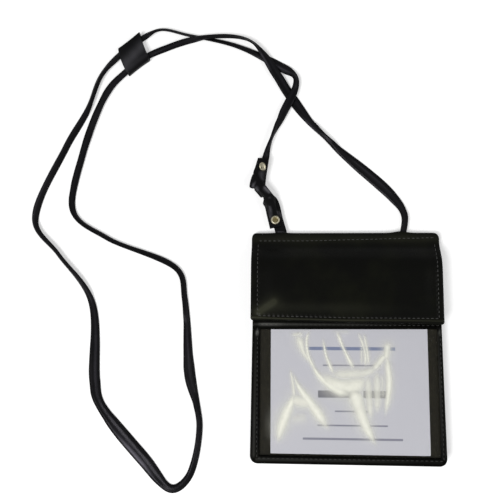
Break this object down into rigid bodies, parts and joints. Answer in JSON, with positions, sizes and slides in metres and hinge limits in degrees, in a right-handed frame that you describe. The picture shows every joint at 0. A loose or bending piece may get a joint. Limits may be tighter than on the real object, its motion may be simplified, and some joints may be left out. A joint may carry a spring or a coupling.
{
  "type": "leather badge holder",
  "caption": "Flat leather pouch with a clear badge window, padded flap with hook and loop closure, linked tabs and a folded neck strap with a sliding keeper.",
  "frame": {"origin": "the middle of the holder's back face", "axes": "+X across the holder to the right as seen from the front, +Y up the holder towards the neck strap, +Z out of the front"},
  "size_m": [0.297, 0.3416, 0.0144],
  "materials": {
    "leather": "smooth glossy black bonded leather",
    "board": "grey board",
    "lining": "thin black woven lining",
    "backing": "matt dark grey-green skin",
    "card": "pale card",
    "film": "clear soft vinyl",
    "tape": "black hook and loop tape",
    "padding": "thin grey felt padding",
    "rivet": "dull nickelled brass"
  },
  "bodies": {
    "holder": {"back_panel": "leather", "back_board": "board", "back_lining": "lining", "left_gusset": "leather", "right_gusset": "leather", "bottom_gusset": "leather", "divider_lining": "lining", "divider_board": "board", "badge_backing": "backing", "pocket_strip_left": "leather", "pocket_strip_right": "leather", "pocket_strip_bottom": "leather", "window_film": "film", "window_frame": "leather", "loop_tape": "tape", "top_hem": "leather", "lower_tab": "leather", "lower_rivet_cap": "rivet", "lower_rivet_back": "rivet", "upper_tab": "leather", "upper_rivet_cap": "rivet", "upper_rivet_back": "rivet", "neck_strap": "leather"},
    "flap": {"flap_leather": "leather", "flap_padding": "padding", "flap_board": "board", "flap_lining": "lining", "hook_tape": "tape"},
    "badge": {"badge_card": "card"},
    "keeper": {"slide_keeper": "leather"}
  },
  "joints": [
    {"name": "flap_hinge", "type": "hinge", "parent": "holder", "child": "flap", "pos_m": [0, 0.0736, 0.0054], "axis": [-1, 0, 0], "range_deg": [0, 135]},
    {"name": "badge_slide", "type": "slide", "parent": "holder", "child": "badge", "axis": [0, 1, 0], "range_m": [0, 0.046]},
    {"name": "keeper_slide", "type": "slide", "parent": "holder", "child": "keeper", "axis": [0.788, 0.6157, 0], "range_m": [-0.005, 0]}
  ]
}
